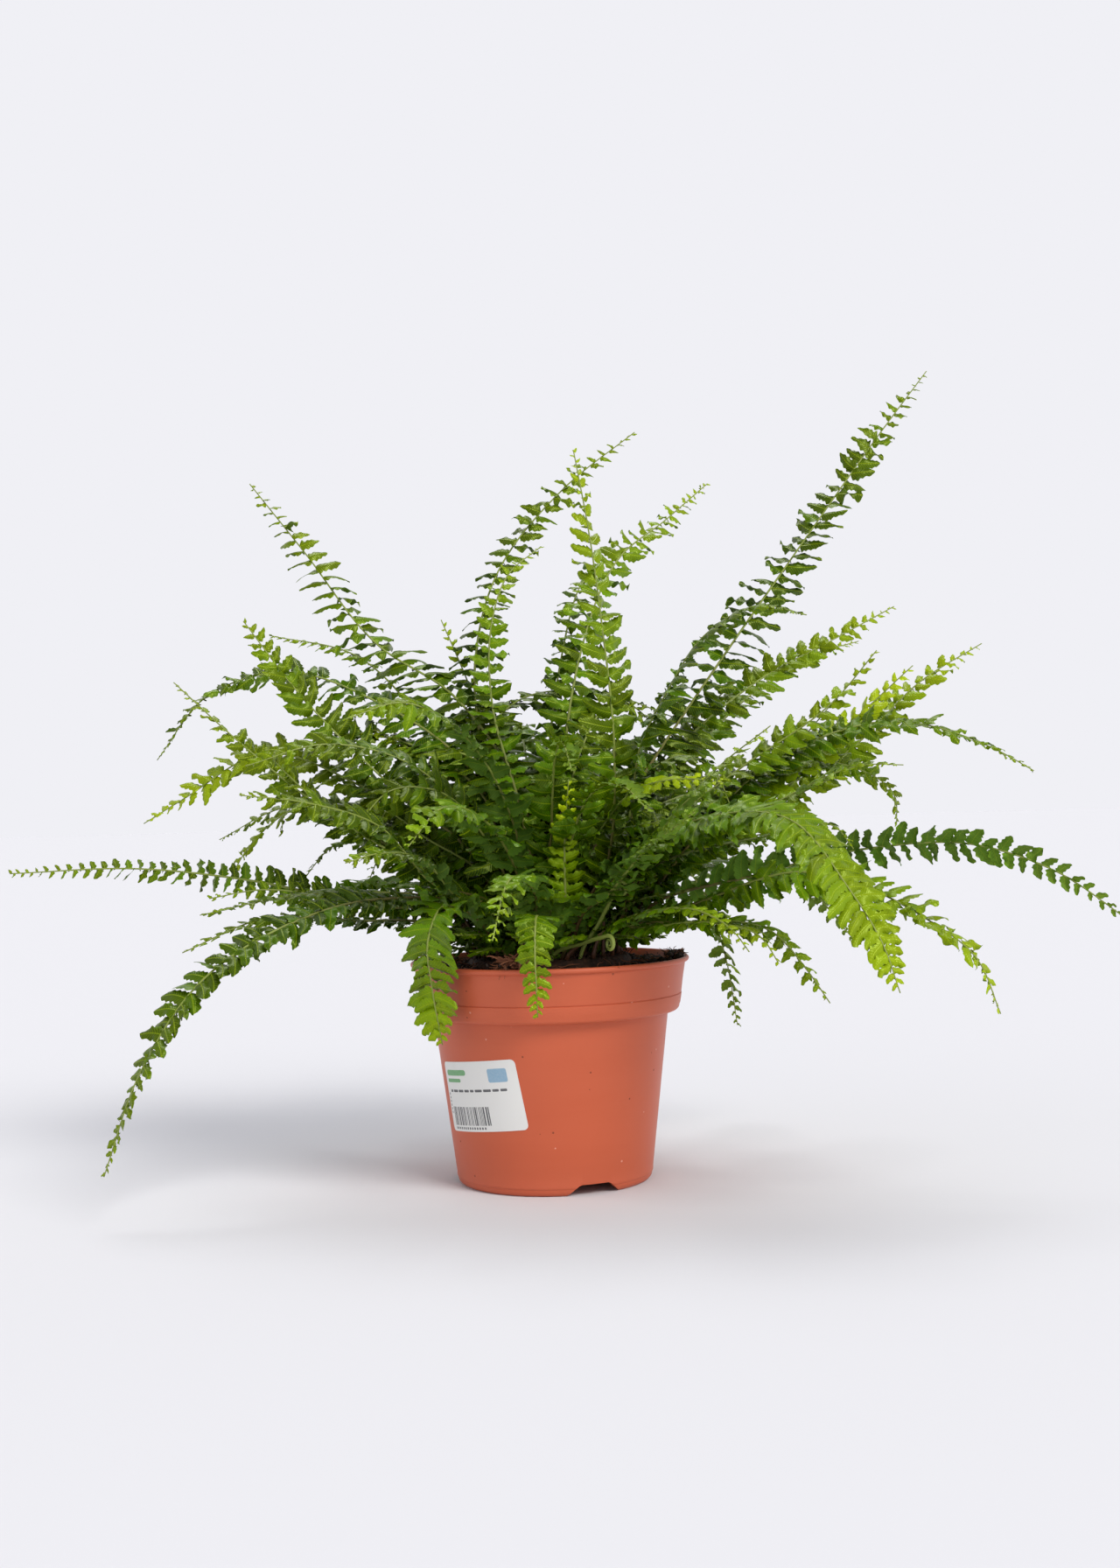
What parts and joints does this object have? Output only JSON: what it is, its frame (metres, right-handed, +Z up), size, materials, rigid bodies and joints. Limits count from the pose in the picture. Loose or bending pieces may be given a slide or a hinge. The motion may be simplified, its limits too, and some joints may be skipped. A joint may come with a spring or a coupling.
{
  "type": "potted fern",
  "caption": "Living Boston fern with arching feathery fronds and curled young croziers, growing from a compost-filled round terracotta-coloured plastic nursery pot with a stepped collar",
  "frame": {"origin": "centre of the whole plant seen from above, on the surface the pot stands on", "axes": "+Z up; +X to the right as the label side of the pot faces the viewer, along the plant's widest spread; +Y to the back"},
  "size_m": [0.6712, 0.3893, 0.5078],
  "materials": {
    "pot_plastic": "injection-moulded polypropylene in terracotta colour, satin, slightly scuffed",
    "peat_compost": "moist dark peat compost with coarse fibres, dull",
    "scaly_crown": "brown scaly rhizome and old stalk bases, dull",
    "label_paper": "white self-adhesive label, satin, plain printed blocks without words",
    "mature_frond": null,
    "young_frond": null
  },
  "bodies": {
    "root": {"compost": "peat_compost", "crown": "scaly_crown", "crozier_front_low": "young_frond", "crozier_front_tall": "young_frond", "frond_back_arch": "mature_frond", "frond_back_left_drooping": "mature_frond", "frond_back_left_low": "mature_frond", "frond_back_left_mid": "mature_frond", "frond_back_left_mid_low": "mature_frond", "frond_back_left_tip": "mature_frond", "frond_back_low": "mature_frond", "frond_back_mid": "mature_frond", "frond_back_mid_right": "mature_frond", "frond_back_right_drooping": "mature_frond", "frond_back_right_high": "mature_frond", "frond_back_right_low": "mature_frond", "frond_back_right_tall": "mature_frond", "frond_back_tall": "mature_frond", "frond_centre_back": "mature_frond", "frond_centre_upright": "mature_frond", "frond_far_left": "mature_frond", "frond_far_right": "mature_frond", "frond_front_grey": "mature_frond", "frond_front_left_bright": "mature_frond", "frond_front_left_high": "mature_frond", "frond_front_left_mid": "mature_frond", "frond_front_mid": "mature_frond", "frond_front_reach": "mature_frond", "frond_front_right_big": "mature_frond", "frond_front_right_low": "mature_frond", "frond_front_right_mid": "mature_frond", "frond_front_right_short": "mature_frond", "frond_front_right_thin": "mature_frond", "frond_front_yellow_tip": "young_frond", "frond_front_young": "young_frond", "frond_left_dark_arch": "mature_frond", "frond_left_drooping": "mature_frond", "frond_left_high": "mature_frond", "frond_left_high_small": "mature_frond", "frond_left_high_yellow": "young_frond", "frond_left_mid": "mature_frond", "frond_left_short_lower": "mature_frond", "frond_left_short_upper": "mature_frond", "frond_left_yellow": "young_frond", "frond_over_rim_front": "mature_frond", "frond_over_rim_left": "mature_frond", "frond_right_arch": "mature_frond", "frond_right_arch_low": "mature_frond", "frond_right_drooping": "mature_frond", "frond_right_front_high": "mature_frond", "frond_right_high": "mature_frond", "frond_right_long_rise": "mature_frond", "frond_right_low": "mature_frond", "frond_right_short": "mature_frond", "frond_right_yellow": "young_frond", "frond_tall_left": "mature_frond", "frond_tall_right": "mature_frond", "pot": "pot_plastic", "price_label": "label_paper"}
  },
  "joints": []
}
